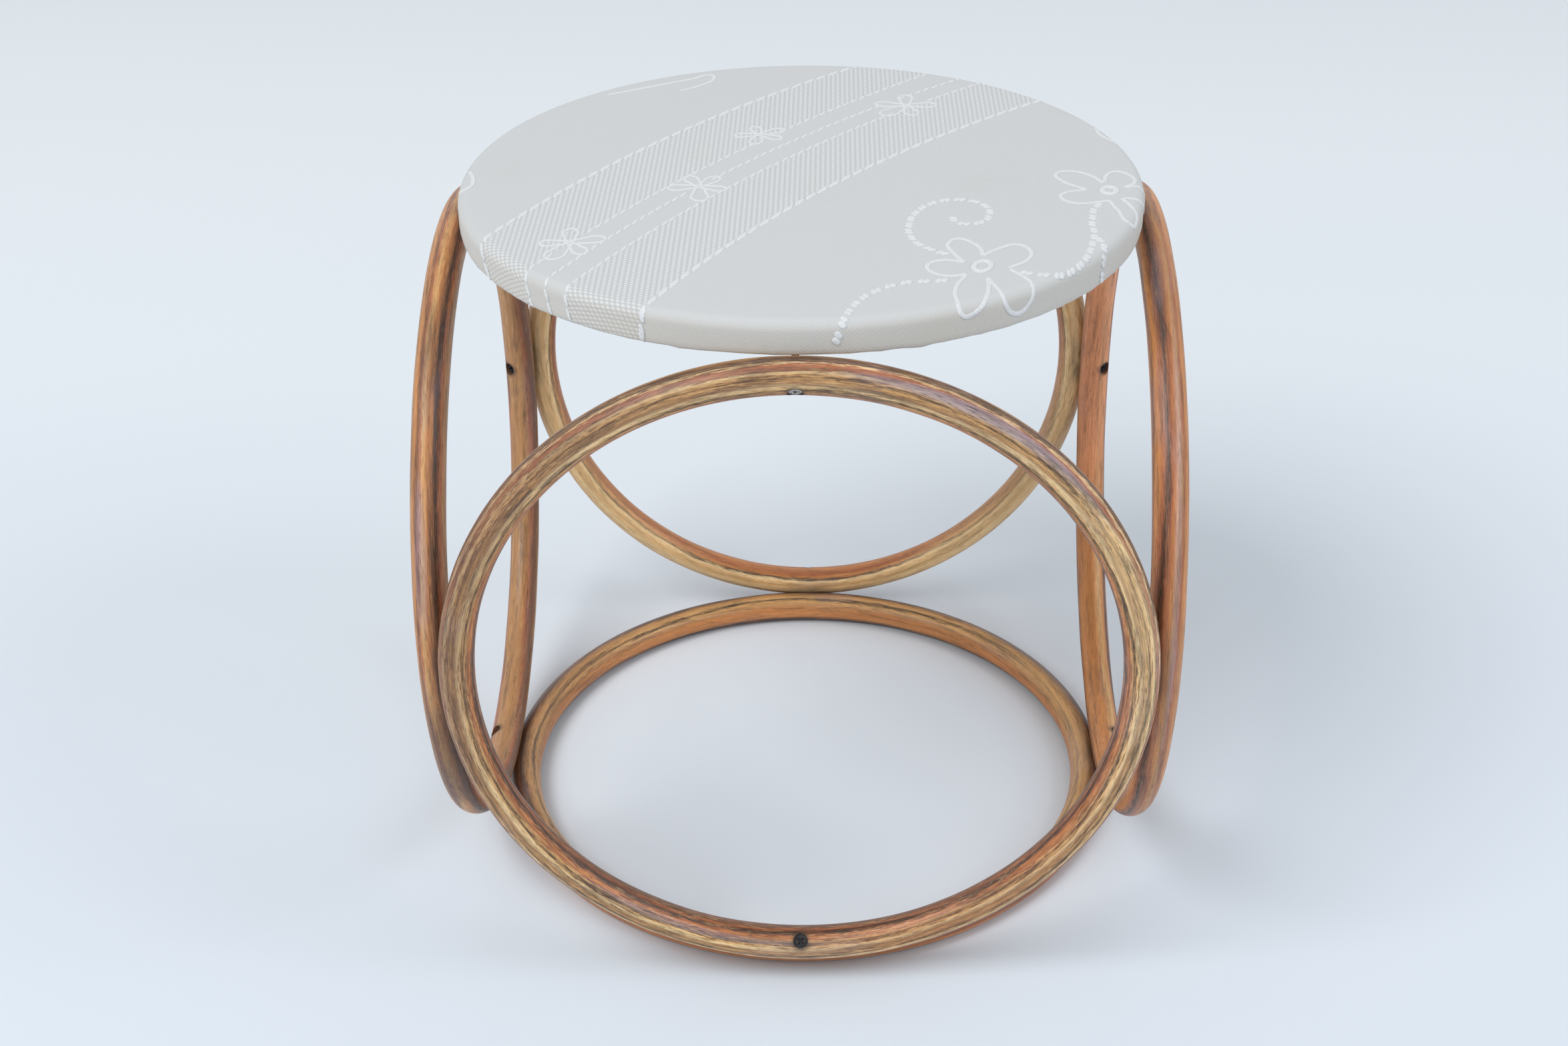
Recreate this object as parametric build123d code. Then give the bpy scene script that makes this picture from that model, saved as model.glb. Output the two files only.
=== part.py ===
from build123d import *
import os
from math import atan2, cos, radians, sin, sqrt

# A round stool: five equal bentwood rings stand as the sides and the foot of a cube and are screwed
# together where they touch, and an upholstered round seat takes the place of the sixth ring.
# The origin is on the floor under the middle of the seat, +Z is up and the front looks along -Y.

# Bentwood rings
ROD_DIAMETER = 20.0
RING_OUTER_DIAMETER = 395.0
JOINT_FLAT_DEPTH = 0.3
FLOOR_FLAT_DEPTH = 0.4
SCARF_LENGTH = 62.0
GLUE_LINE = 0.2

# Where each rod's two ends are scarfed, in degrees round the ring from its local X axis
SCARF_ANGLES = {
    "front_ring": 128.0,
    "back_ring": 56.0,
    "left_ring": 17.0,
    "right_ring": 122.0,
    "base_ring": 248.0,
}

# Countersunk cross-recess wood screws, sunk in counterbores
SCREW_DIAMETER = 4.5
SCREW_CORE_DIAMETER = 3.3
SCREW_PITCH = 2.0
SCREW_PLAIN_LENGTH = 13.0
SCREW_POINT_LENGTH = 4.0
SCREW_HEAD_DIAMETER = 8.4
SCREW_HEAD_SINK = 2.4
SEAT_SCREW_HEAD_SINK = 1.2
SCREW_TURN_STEP = 37.0
SCREW_LENGTH = 30.0
RECESS_WIDTH = 1.1
RECESS_SPAN = 4.8
RECESS_DEPTH = 1.7
COUNTERBORE_CLEARANCE = 0.2
HEAD_SEAT_CLEARANCE = 0.05
SHANK_CLEARANCE = 0.15
THREAD_CLEARANCE = 0.05

# Seat: a board, a thin foam pad and a cloth cover turned under and stapled
SEAT_INSET = 4.2
SEAT_CLEARANCE = 0.3
BOARD_THICKNESS = 12.0
FOAM_THICKNESS = 5.0
FOAM_CROWN = 2.0
COVER_THICKNESS = 1.0
COVER_EDGE_RADIUS = 6.0
COVER_BEVEL = 1.5
COVER_CLEARANCE = 0.1
HEM_WIDTH = 36.0

# Staples that hold the hem
STAPLE_COUNT = 28
STAPLE_WIDTH = 10.0
STAPLE_LEG = 8.0
STAPLE_WIRE_WIDTH = 1.2
STAPLE_WIRE_THICKNESS = 0.7
STAPLE_SETBACK = 24.0
STAPLE_CLEARANCE = 0.03

# Sizes that follow from the ones above
TOOL_MARGIN = 2.0
rod_radius = ROD_DIAMETER / 2
ring_radius = (RING_OUTER_DIAMETER - ROD_DIAMETER) / 2
joint_reach = rod_radius - JOINT_FLAT_DEPTH
ring_offset = ring_radius + sqrt(2) * joint_reach
base_height = rod_radius - FLOOR_FLAT_DEPTH
centre_height = base_height + ring_offset

seat_radius = ring_offset - SEAT_INSET
seat_edge_inset = SEAT_INSET + COVER_BEVEL
seat_lift = sqrt((rod_radius + SEAT_CLEARANCE) ** 2 - seat_edge_inset**2)
seat_bottom = centre_height + ring_radius + seat_lift
board_bottom = seat_bottom + COVER_THICKNESS
board_top = board_bottom + BOARD_THICKNESS
foam_rim_top = board_top + FOAM_THICKNESS
board_radius = seat_radius - COVER_THICKNESS - COVER_CLEARANCE
cover_corner = min(COVER_EDGE_RADIUS, FOAM_THICKNESS + COVER_THICKNESS)
foam_corner = cover_corner - COVER_THICKNESS - COVER_CLEARANCE
hem_radius = seat_radius - HEM_WIDTH
staple_radius = seat_radius - STAPLE_SETBACK

head_top = SCREW_HEAD_SINK - rod_radius
head_radius = SCREW_HEAD_DIAMETER / 2
shank_radius = SCREW_DIAMETER / 2
core_radius = SCREW_CORE_DIAMETER / 2


def ring_frame(outward, across):
    """A ring's frame: local X across the ring, local Z out of the stool."""
    out = Vector(*outward)
    return Plane(origin=Vector(0, 0, centre_height) + out * ring_offset, x_dir=across, z_dir=out)


RING_FRAMES = {
    "front_ring": ring_frame((0, -1, 0), (1, 0, 0)),
    "back_ring": ring_frame((0, 1, 0), (-1, 0, 0)),
    "left_ring": ring_frame((-1, 0, 0), (0, -1, 0)),
    "right_ring": ring_frame((1, 0, 0), (0, 1, 0)),
    "base_ring": ring_frame((0, 0, -1), (1, 0, 0)),
}
SIDE_RINGS = ("front_ring", "back_ring", "left_ring", "right_ring")
TOP, BOTTOM = 90, 270


def on_ring(radius, angle):
    """A point in a ring's own plane."""
    return Vector(radius * cos(radians(angle)), radius * sin(radians(angle)), 0)


def joint_frame(ring, quadrant):
    """A frame on the rod's axis, with Z towards the piece that the ring meets there, at 45 degrees."""
    frame = RING_FRAMES[ring]
    axis_point = on_ring(ring_radius, quadrant)
    towards = on_ring(1, quadrant) - Vector(0, 0, 1)
    tangent = on_ring(1, quadrant + 90)
    start = frame.from_local_coords(axis_point)
    z_dir = frame.from_local_coords(axis_point + towards) - start
    x_dir = frame.from_local_coords(axis_point + tangent) - start
    return Plane(origin=start, x_dir=x_dir, z_dir=z_dir)


def screw_frame(ring, quadrant):
    """The joint's frame, moved out along the screw where its head is sunk less, under the seat."""
    frame = joint_frame(ring, quadrant)
    return frame.offset(SEAT_SCREW_HEAD_SINK - SCREW_HEAD_SINK) if quadrant == TOP else frame


def turned(points):
    """A solid of revolution about Z from (radius, height) points."""
    outline = Polyline(*[(radius, 0, height) for radius, height in points], close=True)
    return revolve(make_face(outline), Axis.Z)


# Screws: the frame's origin is on or near the axis of the rod that the head is sunk in


def screw():
    tip = head_top + SCREW_LENGTH
    point_start = tip - SCREW_POINT_LENGTH
    thread_start = head_top + SCREW_PLAIN_LENGTH
    points = [(0, head_top), (head_radius, head_top)]
    points.append((shank_radius, head_top + head_radius - shank_radius))
    points.append((shank_radius, thread_start))
    ridges = int((point_start - thread_start) / SCREW_PITCH)
    for ridge in range(ridges):
        root = thread_start + (ridge + 0.5) * SCREW_PITCH
        points.append((core_radius, root))
        points.append((shank_radius, root + SCREW_PITCH / 2))
    points.append((core_radius, point_start))
    points.append((0, tip))
    slot = Box(RECESS_SPAN, RECESS_WIDTH, 2 * RECESS_DEPTH)
    recess = Pos(0, 0, head_top) * (slot + Rot(0, 0, 90) * slot)
    return turned(points) - recess


def through_hole():
    """Counterbore, head seat and shank hole in the rod under the screw's head."""
    bore = head_radius + COUNTERBORE_CLEARANCE
    seat = head_radius + HEAD_SEAT_CLEARANCE
    hole = shank_radius + SHANK_CLEARANCE
    outside = rod_radius + TOOL_MARGIN
    return turned(
        [
            (0, -outside),
            (bore, -outside),
            (bore, head_top),
            (seat, head_top),
            (hole, head_top + seat - hole),
            (hole, outside),
            (0, outside),
        ]
    )


def pilot_hole():
    """The hole that the thread fills in the piece that the screw is driven into."""
    hole = shank_radius + THREAD_CLEARANCE
    tip = head_top + SCREW_LENGTH
    return turned(
        [
            (0, 0),
            (hole, 0),
            (hole, tip - SCREW_POINT_LENGTH + THREAD_CLEARANCE),
            (0, tip + THREAD_CLEARANCE),
        ]
    )


def list_screws():
    """Name, ring under the head, quadrant and pieces driven into of every screw."""
    screws = []
    for ring in SIDE_RINGS:
        side = ring.split("_")[0]
        screws.append((f"{side}_seat_screw", ring, TOP, ("seat_cover", "seat_board")))
        screws.append((f"{side}_base_screw", ring, BOTTOM, ("base_ring",)))
    for ring, neighbours in (("left_ring", ("front", "back")), ("right_ring", ("back", "front"))):
        side = ring.split("_")[0]
        for quadrant, neighbour in zip((0, 180), neighbours):
            screws.append((f"{neighbour}_{side}_corner_screw", ring, quadrant, (f"{neighbour}_ring",)))
    return screws


SCREWS = list_screws()


def cut_for_screws(name, piece):
    """The piece with a hole for every screw that is sunk in it or driven into it."""
    for _, ring, quadrant, targets in SCREWS:
        if ring == name:
            piece = piece - screw_frame(ring, quadrant) * through_hole()
        if name in targets:
            piece = piece - screw_frame(ring, quadrant) * pilot_hole()
    return piece


# Rings


def scarf_gap(angle):
    """The slanted glue line between the rod's two tapered ends, from one flat side of the ring to the other."""
    slope = atan2(ROD_DIAMETER, SCARF_LENGTH)
    tangent = on_ring(1, angle + 90)
    along = tangent * cos(slope) + Vector(0, 0, 1) * sin(slope)
    across = Vector(0, 0, 1) * cos(slope) - tangent * sin(slope)
    length = (SCARF_LENGTH + 2 * TOOL_MARGIN) / cos(slope)
    frame = Plane(origin=on_ring(ring_radius, angle), x_dir=along, z_dir=across)
    return frame * Box(length, 2 * ROD_DIAMETER, GLUE_LINE)


def joint_flat(quadrant):
    """What a plane at 45 degrees takes off the rod where a neighbouring ring touches it."""
    towards = on_ring(1, quadrant) - Vector(0, 0, 1)
    start = on_ring(ring_radius, quadrant) + towards.normalized() * joint_reach
    tool = Box(4 * ROD_DIAMETER, 4 * ROD_DIAMETER, ROD_DIAMETER, align=(Align.CENTER, Align.CENTER, Align.MIN))
    return Plane(origin=start, x_dir=on_ring(1, quadrant + 90), z_dir=towards) * tool


def ring(name):
    rod = Torus(ring_radius, rod_radius)
    quadrants = (0, 180, BOTTOM) if name in SIDE_RINGS else (0, 90, 180, 270)
    for quadrant in quadrants:
        rod = rod - joint_flat(quadrant)
    rod = rod - scarf_gap(SCARF_ANGLES[name])
    if name == "base_ring":
        width = RING_OUTER_DIAMETER + ROD_DIAMETER
        floor = Box(width, width, ROD_DIAMETER, align=(Align.CENTER, Align.CENTER, Align.MIN))
        rod = rod - Pos(0, 0, base_height) * floor
    return cut_for_screws(name, RING_FRAMES[name] * rod)


# Seat


def dished(edge_radius, edge_height, crown):
    """The crowned top line, from its edge in to the seat's axis."""
    bow_radius = (edge_radius**2 + crown**2) / (2 * crown)
    half_chord = edge_radius / 2
    sag = bow_radius - sqrt(bow_radius**2 - half_chord**2)
    top = edge_height + crown
    return ThreePointArc((edge_radius, 0, edge_height), (half_chord, 0, top - sag), (0, 0, top))


def rounded_edge(radius, start_height, corner):
    """A quarter round from the rim at this height up to the top."""
    lean = corner / sqrt(2)
    middle = (radius - corner + lean, 0, start_height + lean)
    return ThreePointArc((radius, 0, start_height), middle, (radius - corner, 0, start_height + corner))


def seat_board():
    board = Cylinder(board_radius, BOARD_THICKNESS, align=(Align.CENTER, Align.CENTER, Align.MIN))
    board = Pos(0, 0, board_bottom) * board
    return cut_for_screws("seat_board", board) - staples(STAPLE_CLEARANCE)


def seat_foam():
    top = foam_rim_top - COVER_CLEARANCE
    edge = rounded_edge(board_radius, top - foam_corner, foam_corner)
    crown = dished(board_radius - foam_corner, top, FOAM_CROWN)
    axis = Line((0, 0, top + FOAM_CROWN), (0, 0, board_top))
    bottom = Line((0, 0, board_top), (board_radius, 0, board_top))
    outline = [edge, crown, axis, bottom]
    if cover_corner < FOAM_THICKNESS + COVER_THICKNESS:
        outline.append(Line((board_radius, 0, board_top), (board_radius, 0, top - foam_corner)))
    return revolve(make_face(outline), Axis.Z)


def seat_cover():
    rim_top = foam_rim_top + COVER_THICKNESS
    corner = cover_corner
    inside = seat_radius - COVER_THICKNESS
    outer_edge = rounded_edge(seat_radius, rim_top - corner, corner)
    outer_crown = dished(seat_radius - corner, rim_top, FOAM_CROWN)
    inner_edge = rounded_edge(inside, rim_top - corner, corner - COVER_THICKNESS)
    inner_crown = dished(seat_radius - corner, foam_rim_top, FOAM_CROWN)
    hem = Polyline(
        (inside, 0, rim_top - corner),
        (inside, 0, board_bottom),
        (hem_radius, 0, board_bottom),
        (hem_radius, 0, seat_bottom),
        (seat_radius - COVER_BEVEL, 0, seat_bottom),
        (seat_radius, 0, seat_bottom + COVER_BEVEL),
        (seat_radius, 0, rim_top - corner),
    )
    axis = Line((0, 0, rim_top + FOAM_CROWN), (0, 0, foam_rim_top + FOAM_CROWN))
    outline = [hem, outer_edge, outer_crown, axis, inner_crown, inner_edge]
    cover = revolve(make_face(outline), Axis.Z)
    return cut_for_screws("seat_cover", cover) - staples(STAPLE_CLEARANCE)


def staple(clearance):
    """One staple, crown under the hem and legs up, with its wire grown by a clearance."""
    wire = STAPLE_WIRE_THICKNESS + 2 * clearance
    width = STAPLE_WIRE_WIDTH + 2 * clearance
    lift = (Align.CENTER, Align.CENTER, Align.MIN)
    crown = Box(STAPLE_WIDTH, width, STAPLE_WIRE_THICKNESS, align=(Align.CENTER, Align.CENTER, Align.MAX))
    legs = [
        Pos(side * (STAPLE_WIDTH - STAPLE_WIRE_THICKNESS) / 2, 0, 0) * Box(wire, width, STAPLE_LEG, align=lift)
        for side in (-1, 1)
    ]
    return crown + legs


def staples(clearance=0.0):
    """Every staple, in a circle under the hem."""
    half_step = 180 / STAPLE_COUNT
    places = PolarLocations(staple_radius, STAPLE_COUNT, start_angle=half_step)
    return [Pos(0, 0, seat_bottom) * place * Rot(0, 0, 90) * staple(clearance) for place in places]


def build():
    """Every piece by its node's name."""
    pieces = {name: ring(name) for name in RING_FRAMES}
    pieces["seat_board"] = seat_board()
    pieces["seat_foam"] = seat_foam()
    pieces["seat_cover"] = seat_cover()
    pieces["cover_staples"] = Compound(children=staples())
    for index, (name, ring_name, quadrant, _) in enumerate(SCREWS):
        turn = Rot(0, 0, index * SCREW_TURN_STEP)
        pieces[name] = screw_frame(ring_name, quadrant) * (turn * screw())
    return pieces


os.makedirs("parts", exist_ok=True)
for node, shape in build().items():
    export_step(shape, f"parts/{node}.step")
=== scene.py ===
# %% [markdown]
# # A bentwood stool with a stitched cloth seat
# Five equal hoops of bent rod carry a thin round seat: four stand up as the sides of a cube and
# one lies on the floor. The construction model is loaded first and never moved. Each new piece
# below is dressed around it, in metres, in the same frame.

# %% Load the construction model
import math
from bisect import bisect_right

import bmesh
import bpy
from mathutils import Matrix, Vector, noise


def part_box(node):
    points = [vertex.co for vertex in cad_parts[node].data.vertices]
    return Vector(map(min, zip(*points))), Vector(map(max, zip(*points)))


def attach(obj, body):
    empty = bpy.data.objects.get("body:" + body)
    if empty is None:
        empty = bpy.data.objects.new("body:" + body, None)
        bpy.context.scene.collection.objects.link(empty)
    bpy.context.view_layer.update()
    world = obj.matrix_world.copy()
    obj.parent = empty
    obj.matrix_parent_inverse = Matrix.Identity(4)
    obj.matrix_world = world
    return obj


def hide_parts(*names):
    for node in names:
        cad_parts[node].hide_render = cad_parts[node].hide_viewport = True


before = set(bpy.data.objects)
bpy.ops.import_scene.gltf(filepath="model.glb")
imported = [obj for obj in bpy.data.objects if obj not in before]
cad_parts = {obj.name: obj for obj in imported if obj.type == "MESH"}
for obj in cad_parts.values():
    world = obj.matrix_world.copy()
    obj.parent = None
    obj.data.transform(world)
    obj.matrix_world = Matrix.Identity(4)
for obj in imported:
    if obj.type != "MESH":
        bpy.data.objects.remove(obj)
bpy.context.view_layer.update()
scene = bpy.context.scene
MM = 0.001

# %% [markdown]
# ## Camera
# The stool was seen from the front, looking down at about 30 degrees, through a normal lens. The
# place and tilt below put the hoops of the model on the hoops of the picture, so the camera comes
# first and everything after it can be compared.

# %% Camera
CAMERA_PLACE = Vector((19.94, -1191.28, 897.85)) * MM
CAMERA_PITCH, CAMERA_YAW, CAMERA_ROLL = (math.radians(v) for v in (30.62, -1.54, -0.75))
LENS_MM, SENSOR_MM = 50.33, 36

ahead = Vector((
    math.sin(CAMERA_YAW) * math.cos(CAMERA_PITCH),
    math.cos(CAMERA_YAW) * math.cos(CAMERA_PITCH),
    -math.sin(CAMERA_PITCH),
))
level = ahead.cross(Vector((0, 0, 1))).normalized()
upward = level.cross(ahead)
right = level * math.cos(CAMERA_ROLL) + upward * math.sin(CAMERA_ROLL)
top = upward * math.cos(CAMERA_ROLL) - level * math.sin(CAMERA_ROLL)
camera = bpy.data.objects.new("camera", bpy.data.cameras.new("camera"))
camera.data.lens = LENS_MM
camera.data.sensor_width = SENSOR_MM
camera_axes = Matrix((right, top, -ahead)).transposed().to_4x4()
camera.matrix_world = Matrix.Translation(CAMERA_PLACE) @ camera_axes
scene.collection.objects.link(camera)
scene.camera = camera
print("camera looks along", [round(v, 3) for v in ahead])

# %% [markdown]
# ## Shader maths
# A finish is easier to read as a sum than as a web of boxes. This class holds one socket of a
# material; adding or multiplying two of them adds the Math node that does it. Every other kind
# of node goes through the one method `node`.


# %% A socket that can be added and multiplied
class Flow:
    """One socket of a material. Sums between flows become Math nodes."""

    def __init__(self, tree, socket=None):
        self.tree = tree
        self.socket = socket

    def node(self, kind, settings=None, sockets=None, out=0):
        made = self.tree.nodes.new(kind)
        for name, value in (settings or {}).items():
            if name == "stops":
                fill_ramp(made.color_ramp, value)
            else:
                setattr(made, name, value)
        for name, value in (sockets or {}).items():
            if isinstance(value, Flow):
                self.tree.links.new(value.socket, made.inputs[name])
            else:
                made.inputs[name].default_value = value
        return Flow(self.tree, made.outputs[out])

    def maths(self, operation, *values):
        return self.node("ShaderNodeMath", {"operation": operation}, dict(enumerate(values)))

    def __add__(self, other):
        return self.maths("ADD", self, other)

    def __sub__(self, other):
        return self.maths("SUBTRACT", self, other)

    def __rsub__(self, other):
        return self.maths("SUBTRACT", other, self)

    def __mul__(self, other):
        return self.maths("MULTIPLY", self, other)

    def __truediv__(self, other):
        return self.maths("DIVIDE", self, other)

    def __pow__(self, other):
        return self.maths("POWER", self, other)

    def __mod__(self, other):
        return self.maths("FLOORED_MODULO", self, other)

    def __abs__(self):
        return self.maths("ABSOLUTE", self)

    __radd__ = __add__
    __rmul__ = __mul__

    def step(self, low, high):
        """0 below low, 1 above high, and a smooth rise between them."""
        limits = {"Value": self, "From Min": low, "From Max": high}
        return self.node("ShaderNodeMapRange", {"interpolation_type": "SMOOTHSTEP"}, limits)

    def parts(self):
        return [self.node("ShaderNodeSeparateXYZ", None, {0: self}, out) for out in range(3)]

    def cloud(self, scale=1.0, detail=2.0, roughness=0.5):
        """Soft noise from 0 to 1 at this vector."""
        sockets = {"Vector": self, "Scale": scale, "Detail": detail, "Roughness": roughness}
        return self.node("ShaderNodeTexNoise", None, sockets)

    def between(self, first, second):
        """The first colour where this is 0 and the second where it is 1."""
        return self.node("ShaderNodeMix", {"data_type": "RGBA"}, {0: self, 6: first, 7: second}, 2)

    def shaded(self, shade):
        """This colour, darker where shade is below 1 and lighter where it is above."""
        settings = {"data_type": "RGBA", "blend_type": "MULTIPLY"}
        return self.node("ShaderNodeMix", settings, {0: 1.0, 6: self, 7: shade}, 2)


def fill_ramp(ramp, stops):
    while len(ramp.elements) < len(stops):
        ramp.elements.new(1.0)
    for element, (position, colour) in zip(ramp.elements, stops):
        element.position = position
        element.color = colour


print("a flow knows", [name for name in vars(Flow) if not name.startswith("_")])


# %% Tones and finishes
def tone(red, green, blue):
    """A colour as it is mixed, 0 to 255, turned into the renderer's linear light."""
    return tuple(((v / 255 + 0.055) / 1.055) ** 2.4 for v in (red, green, blue)) + (1.0,)


def finish(name, colour, roughness, bump=None, depth=0.0, **plain):
    """Links a colour, a roughness and a height to the shader; plain names its other sockets."""
    tree = colour.tree
    shader = tree.nodes["Principled BSDF"]
    tree.links.new(colour.socket, shader.inputs["Base Color"])
    if isinstance(roughness, Flow):
        tree.links.new(roughness.socket, shader.inputs["Roughness"])
    else:
        shader.inputs["Roughness"].default_value = roughness
    if bump is not None:
        sockets = {"Strength": 1.0, "Distance": depth, "Height": bump}
        normal = colour.node("ShaderNodeBump", None, sockets)
        tree.links.new(normal.socket, shader.inputs["Normal"])
    for socket, value in plain.items():
        shader.inputs[socket.replace("_", " ")].default_value = value
    print("finish", name, "has", len(tree.nodes), "nodes")


def new_finish(name):
    material = bpy.data.materials.new(name)
    material.use_nodes = True
    return material, Flow(material.node_tree)


print("a tone of 188 is", round(tone(188, 188, 188)[0], 3), "in linear light")

# %% [markdown]
# ## Where the hoops lie
# The loaded model gives the hoops' boxes, and from those come the rod's radius, the hoop's radius,
# and how far out and how high the hoops lie. A hoop is drawn flat in its own frame, with its
# outward side along z, and then stood up by one matrix.

# %% Hoop frames
low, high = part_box("front_ring")
ROD_RADIUS = (high.y - low.y) / 2
HOOP_RADIUS = (high.x - low.x) / 2 - ROD_RADIUS
SIDE_OFFSET = -(low.y + high.y) / 2
SIDE_HEIGHT = (low.z + high.z) / 2
BASE_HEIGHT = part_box("base_ring")[1].z - ROD_RADIUS
UP = Vector((0, 0, 1))


def hoop_frame(outward, upper, centre):
    axes = Matrix((upper.cross(outward), upper, outward)).transposed()
    return Matrix.Translation(centre) @ axes.to_4x4()


SIDES = {"front": (0, -1), "back": (0, 1), "left": (-1, 0), "right": (1, 0)}
HOOPS = {"base": hoop_frame(-UP, Vector((0, -1, 0)), UP * BASE_HEIGHT)}
for side, outward in SIDES.items():
    outward = Vector((*outward, 0))
    HOOPS[side] = hoop_frame(outward, UP, outward * SIDE_OFFSET + UP * SIDE_HEIGHT)
print("rod", round(ROD_RADIUS / MM, 2), "mm, hoop", round(HOOP_RADIUS / MM, 2), "mm")
print("hoops", list(HOOPS))

# %% [markdown]
# ## Bent rods
# A bent rod is a circle swept round a bigger circle, which is what the spin operator does. A
# shape turned on a lathe is a line spun round an axis, so one helper serves for the hoops, the
# seat and the drilled holes. Real rods are never quite even, so each one is thinned here and
# there by up to a third of a millimetre, and left at its full size where it meets a neighbour.


# %% Spin
def spun(bm, start, steps):
    """Sweeps the given geometry once round the z axis and closes the seam and the poles."""
    bmesh.ops.spin(
        bm, geom=start, cent=(0, 0, 0), axis=UP, dvec=(0, 0, 0), angle=math.tau, steps=steps,
        use_merge=True, use_normal_flip=False, use_duplicate=False,
    )
    bmesh.ops.remove_doubles(bm, verts=bm.verts[:], dist=1e-6)
    bmesh.ops.recalc_face_normals(bm, faces=bm.faces[:])


def chain(bm, points):
    """A line of vertices in the XZ plane, ready to spin about Z."""
    verts = [bm.verts.new((radius, 0, height)) for radius, height in points]
    return verts + [bm.edges.new(pair) for pair in zip(verts, verts[1:])]


print("one spin serves for hoops, seat and holes")

# %% Uneven rods
THINNING = 0.35 * MM
JOINT_CALM = (math.radians(7), math.radians(16))
LONG_WAVES, FLUTES_ALONG, FLUTES_ACROSS = 22, 34, 160
ROD_SIDES, HOOP_STEPS = 40, 264


def clamped(value):
    return min(max(value, 0), 1)


def uneven(point, seed):
    """How far a point of a rod's skin is drawn in, from its place in the hoop's own frame."""
    angle = math.atan2(point.y, point.x)
    beside = abs((angle + math.pi / 4) % (math.pi / 2) - math.pi / 4)
    away = (beside - JOINT_CALM[0]) / (JOINT_CALM[1] - JOINT_CALM[0])
    waves = Vector((point.x * LONG_WAVES, point.y * LONG_WAVES, seed))
    flutes = Vector((point.x * FLUTES_ALONG, point.y * FLUTES_ALONG, point.z * FLUTES_ACROSS + seed))
    share = 0.5 + 0.5 * noise.noise(waves) + 0.35 * noise.noise(flutes)
    return clamped(away) * THINNING * clamped(share)


def bent_rod(seed):
    bm = bmesh.new()
    bmesh.ops.create_circle(bm, segments=ROD_SIDES, radius=ROD_RADIUS)
    bmesh.ops.rotate(bm, verts=bm.verts[:], matrix=Matrix.Rotation(math.pi / 2, 3, "X"))
    bmesh.ops.translate(bm, verts=bm.verts[:], vec=(HOOP_RADIUS, 0, 0))
    spun(bm, bm.verts[:] + bm.edges[:], HOOP_STEPS)
    for vert in bm.verts:
        spine = Vector((vert.co.x, vert.co.y, 0)).normalized() * HOOP_RADIUS
        vert.co -= (vert.co - spine).normalized() * uneven(vert.co, seed)
    return bm


print("rods are thinned by up to", round(THINNING / MM, 2), "mm")

# %% [markdown]
# ## Joints, holes and glue lines
# Where two hoops meet, a flat is filed on both. Screws go through one hoop and into the next,
# at 45 degrees, with the head sunk in a round hole. The rod's two ends meet in a long slanted
# glue line. All of these are cut out of the spun rod with Boolean tools.

# %% Joint places
SEAT_SCREW_LIFT = 1.2 * MM
SEAT_QUADRANT, FLOOR_QUADRANT = 90, 270


def outwards(degrees):
    """The direction from a hoop's middle to a place on it, in the hoop's own frame."""
    return Vector((math.cos(math.radians(degrees)), math.sin(math.radians(degrees)), 0))


def joint_place(hoop, quadrant):
    """The rod's axis at a quarter of the hoop, with z turned towards the neighbour at 45 degrees."""
    out = outwards(quadrant)
    towards = (out - UP).normalized()
    across = UP.cross(out)
    local = Matrix((across, towards.cross(across), towards)).transposed().to_4x4()
    return HOOPS[hoop] @ Matrix.Translation(out * HOOP_RADIUS) @ local


def screw_place(hoop, quadrant):
    """The joint's place, moved out along the screw where its head is sunk less, under the seat."""
    lift = SEAT_SCREW_LIFT if quadrant == SEAT_QUADRANT else 0.0
    return joint_place(hoop, quadrant) @ Matrix.Translation((0, 0, -lift))


print("a joint lies at", [round(v / MM, 1) for v in joint_place("front", 0).translation], "mm")

# %% Flats and glue lines
JOINT_REACH = ROD_RADIUS - 0.3 * MM
# The glue line crosses the rod, 20 mm thick, within 62 mm of its length.
SCARF_SLOPE = math.atan2(20, 62)
SCARF_ANGLES = {"front": 128, "back": 56, "left": 17, "right": 122, "base": 248}
FLAT_BLOCK = (40 * MM, 24 * MM, 20 * MM)
GLUE_SLICE = (70 * MM, 40 * MM, 0.06 * MM)
FLOOR_SLAB = (0.5, 0.5, 20 * MM)


def block(bm, place, size, shift=0.0):
    matrix = place @ Matrix.Translation((0, 0, shift)) @ Matrix.Diagonal((*size, 1))
    bmesh.ops.create_cube(bm, size=1, matrix=matrix)


def saw_tools(hoop):
    """The flats and the glue line of one hoop."""
    bm = bmesh.new()
    for quadrant in (0, 90, 180, 270) if hoop == "base" else (0, 180, 270):
        block(bm, joint_place(hoop, quadrant), FLAT_BLOCK, JOINT_REACH + FLAT_BLOCK[2] / 2)
    out = outwards(SCARF_ANGLES[hoop])
    run = UP.cross(out) * math.cos(SCARF_SLOPE) + UP * math.sin(SCARF_SLOPE)
    axes = Matrix((run, out, run.cross(out))).transposed().to_4x4()
    place = HOOPS[hoop] @ Matrix.Translation(out * HOOP_RADIUS) @ axes
    block(bm, place, GLUE_SLICE)
    return bm


def floor_tool():
    """A slab under the floor, which saws the lowest hoop level."""
    bm = bmesh.new()
    block(bm, Matrix.Identity(4), FLOOR_SLAB, -FLOOR_SLAB[2] / 2)
    return bm


print("glue lines at", SCARF_ANGLES)

# %% Screw holes
SCREWS = [(hoop, SEAT_QUADRANT, None) for hoop in SIDES]
SCREWS += [(hoop, FLOOR_QUADRANT, "base") for hoop in SIDES]
SCREWS += [("left", 0, "front"), ("left", 180, "back"), ("right", 0, "back"), ("right", 180, "front")]
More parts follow.
